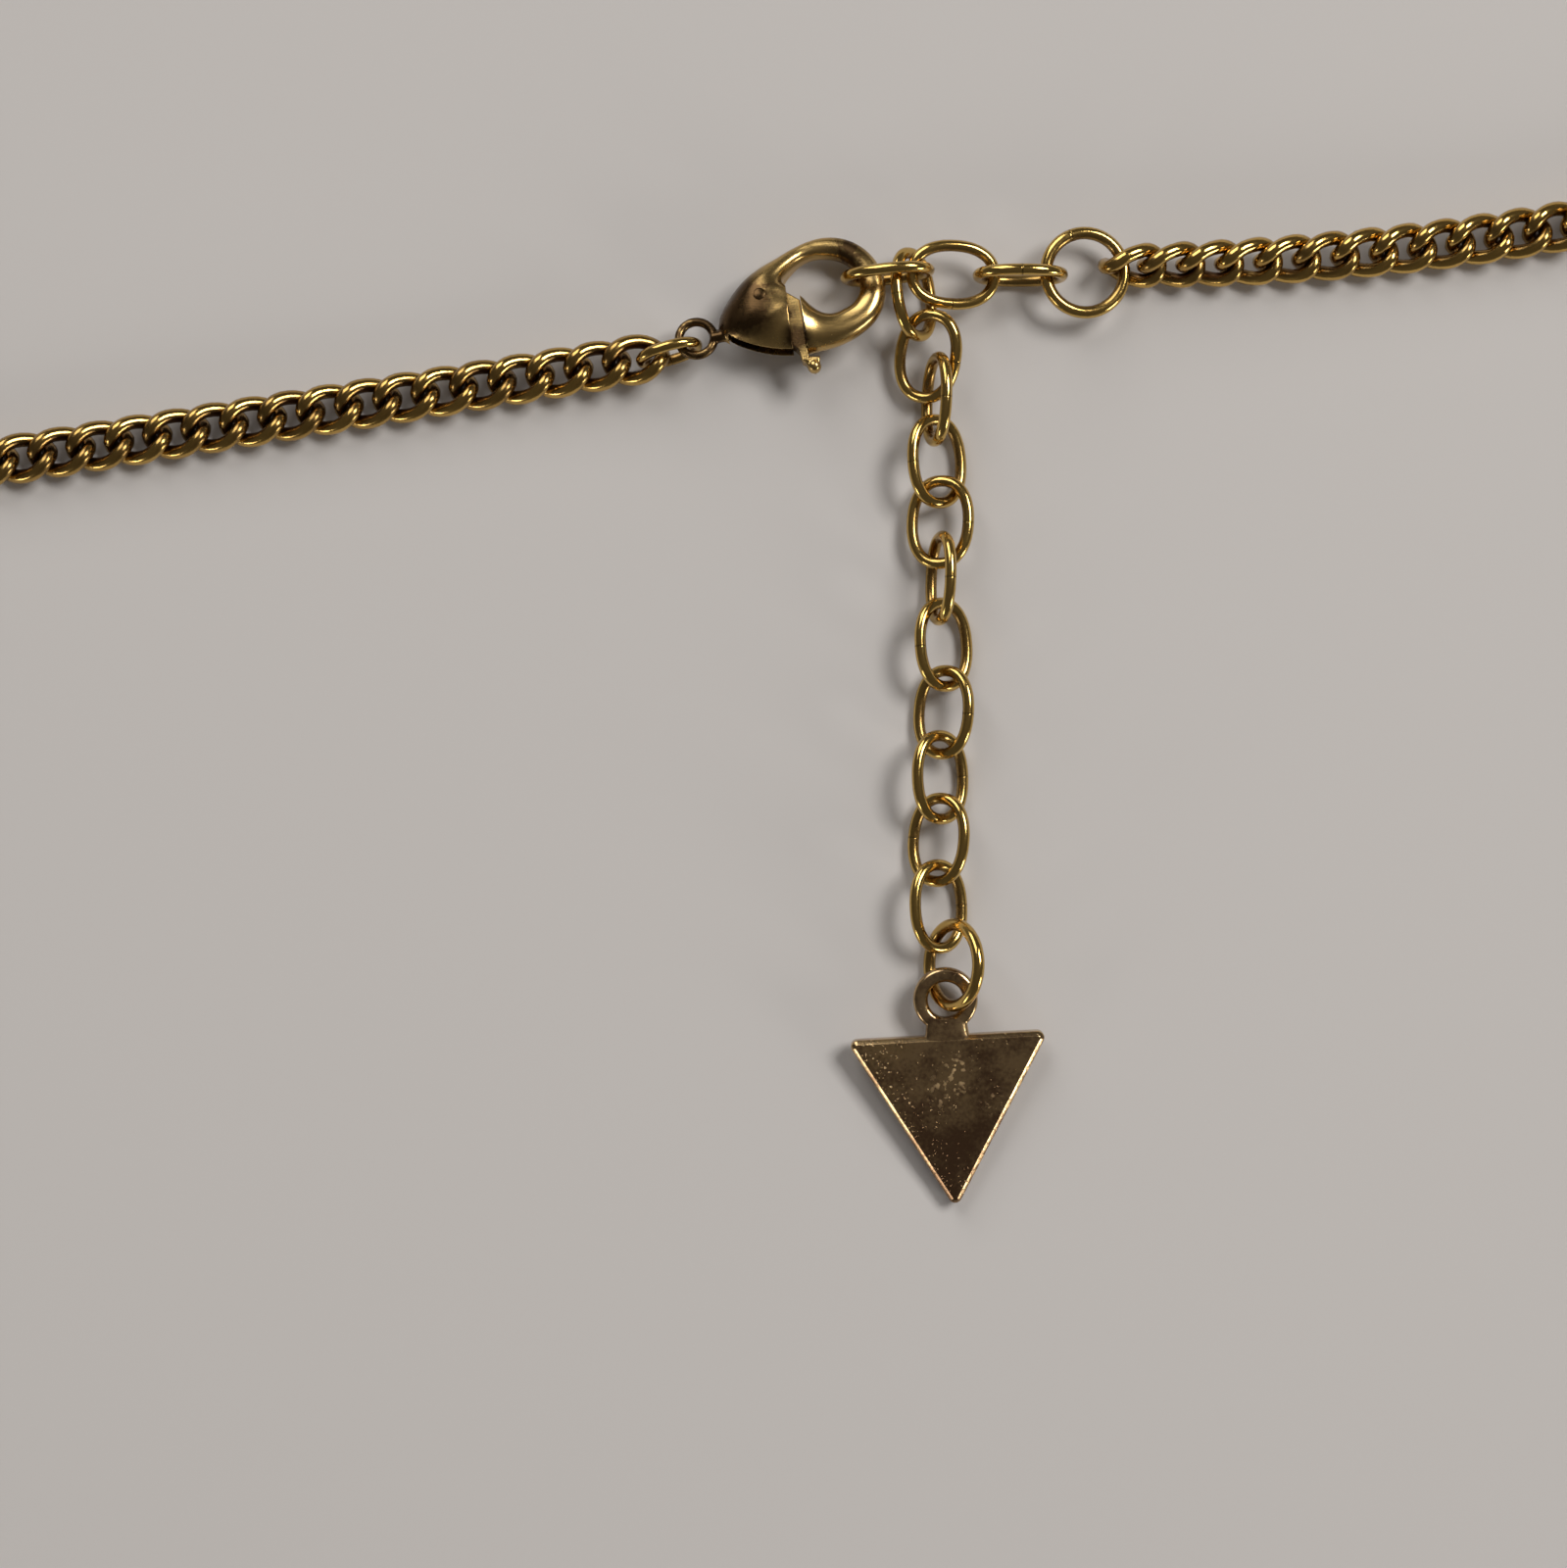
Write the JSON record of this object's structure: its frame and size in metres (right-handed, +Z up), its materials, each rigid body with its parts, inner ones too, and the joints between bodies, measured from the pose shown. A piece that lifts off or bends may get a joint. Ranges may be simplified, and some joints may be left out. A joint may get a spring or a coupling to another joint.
{
  "type": "pendant necklace with a triangular tag",
  "caption": "Curb chain necklace with a lobster clasp and an extender chain that ends in a plain flat triangular tag.",
  "frame": {"origin": "on the surface that the necklace lies on, under the middle of its outline", "axes": "+Z up from the surface, +X towards the right side with the clasp's end nearest the viewer, +Y towards the far side of the loop; the extender hangs along -Y"},
  "size_m": [0.1508, 0.1328, 0.0048],
  "materials": {
    "curb_plating": "polished gold plating, darkened in the recesses",
    "link_plating": "polished gold plating",
    "clasp_plating": "cast, tumbled and gold plated",
    "tag_plating": "mirror-polished gold plating, pitted and scratched"
  },
  "bodies": {
    "necklace": {"curb_chain_left": "curb_plating", "curb_chain_right": "curb_plating", "end_link": "link_plating", "clasp_body": "clasp_plating", "clasp_pin": "clasp_plating", "jump_ring": "link_plating", "extender_link_01": "link_plating", "extender_link_02": "link_plating", "extender_link_03": "link_plating", "extender_link_04": "link_plating", "extender_link_05": "link_plating", "extender_link_06": "link_plating", "extender_link_07": "link_plating", "extender_link_08": "link_plating", "extender_link_09": "link_plating", "extender_link_10": "link_plating", "extender_link_11": "link_plating", "extender_link_12": "link_plating", "extender_link_13": "link_plating", "extender_link_14": "link_plating", "tag_ring": "link_plating", "triangle_tag": "tag_plating"},
    "lever": {"clasp_lever": "clasp_plating"}
  },
  "joints": [
    {"name": "lever_hinge", "type": "hinge", "parent": "necklace", "child": "lever", "pos_m": [0.00563, -0.01247, 0.00172], "axis": [0.0512, -0.2079, -0.9768], "range_deg": [0, 40], "stiffness_Nm_per_rad": 0.005, "springref_deg": -5.73}
  ]
}
